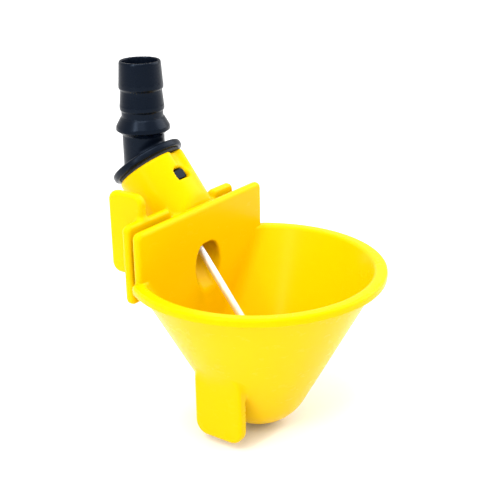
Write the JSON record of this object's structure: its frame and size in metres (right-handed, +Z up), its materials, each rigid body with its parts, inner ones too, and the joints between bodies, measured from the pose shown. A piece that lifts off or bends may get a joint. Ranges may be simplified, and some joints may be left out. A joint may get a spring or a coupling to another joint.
{
  "type": "livestock water cup",
  "caption": "Small wall-hung drinking cup for livestock: a conical cup with a hook-on back plate, a tilting pin valve behind it and a barbed elbow for the water hose.",
  "frame": {"origin": "on the back face of the front plate, which bears on the wall, in the plane of the valve and level with the rim", "axes": "+X to the right of somebody looking at the cup, +Y through the wall to the back, +Z up"},
  "size_m": [0.082, 0.0965, 0.115],
  "materials": {
    "yellow_plastic": "glossy moulded plastic",
    "black_plastic": "satin moulded plastic",
    "black_rubber": "matt rubber",
    "white_plastic": "satin moulded plastic",
    "red_plastic": "satin moulded plastic",
    "steel": "bright drawn stainless steel"
  },
  "bodies": {
    "body": {"cup": "yellow_plastic", "side_leg": "yellow_plastic", "front_plate": "yellow_plastic", "slot_neck": "yellow_plastic", "rear_plate": "yellow_plastic", "side_ear": "yellow_plastic", "valve_housing": "yellow_plastic", "hose_elbow": "black_plastic", "flange_gasket": "black_rubber", "spigot_o_ring": "black_rubber", "strainer_frame": "white_plastic", "strainer_mesh": "steel", "flow_restrictor": "red_plastic", "spring_cage": "white_plastic", "return_spring": "steel", "seat_seal": "black_rubber", "seat_bush": "white_plastic"},
    "rocker": {"spring_cup": "steel"},
    "pin": {"valve_head": "steel", "actuator_pin": "steel"}
  },
  "joints": [
    {"name": "pin_tilt_up", "type": "hinge", "parent": "body", "child": "rocker", "pos_m": [0, 0.00995, 0.0124], "axis": [1, 0, 0], "range_deg": [-6, 6], "stiffness_Nm_per_rad": 0.3, "deforming": ["return_spring", "seat_seal"]},
    {"name": "pin_tilt_side", "type": "hinge", "parent": "rocker", "child": "pin", "pos_m": [0, 0.00995, 0.0124], "axis": [0, -0.7848, 0.6198], "range_deg": [-6, 6], "stiffness_Nm_per_rad": 0.3}
  ]
}
